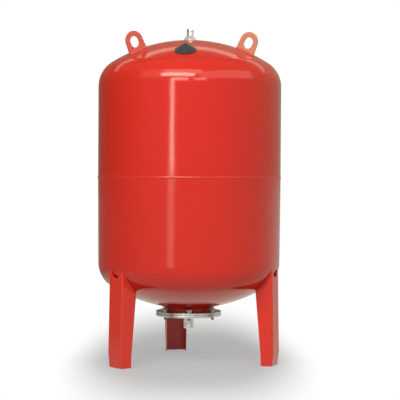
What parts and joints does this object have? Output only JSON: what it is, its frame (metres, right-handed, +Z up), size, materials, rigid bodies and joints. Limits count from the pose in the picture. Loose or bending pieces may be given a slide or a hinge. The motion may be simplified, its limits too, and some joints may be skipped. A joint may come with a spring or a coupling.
{
  "type": "expansion tank",
  "caption": "Upright membrane expansion tank on folded sheet legs, with a bottom flange, pipe connection, lifting lugs and a covered gas valve.",
  "frame": {"origin": "on the floor, under the vessel's axis", "axes": "+Z up along the vessel's axis, +Y towards the rear leg, with the gas valve on the -Y side"},
  "size_m": [0.6028, 0.6044, 1.0926],
  "materials": {
    "painted_red": "gloss powder coat",
    "flange_steel": "galvanised, satin",
    "plated_steel": "zinc plated",
    "black_rubber": "matte",
    "brass": "turned",
    "black_plastic": "satin"
  },
  "bodies": {
    "root": {"upper_shell": "painted_red", "lower_shell": "painted_red", "girth_weld": "painted_red", "bottom_neck": "painted_red", "neck_weld": "painted_red", "leg_right": "painted_red", "leg_left": "painted_red", "leg_rear": "painted_red", "lug_right": "painted_red", "lug_left": "painted_red", "lug_rear": "painted_red", "leg_welds": "painted_red", "lug_welds": "painted_red", "valve_boss": "painted_red", "backing_flange": "flange_steel", "counter_flange": "flange_steel", "water_connection": "flange_steel", "connection_weld": "flange_steel", "flange_bolts": "plated_steel", "flange_spring_washers": "plated_steel", "flange_washers": "plated_steel", "top_spigot": "plated_steel", "top_collar": "plated_steel", "top_plug": "plated_steel", "membrane": "black_rubber", "top_plug_washer": "black_rubber", "valve_stem": "brass", "valve_core": "brass", "valve_cover": "black_plastic", "valve_dust_cap": "black_plastic"}
  },
  "joints": []
}
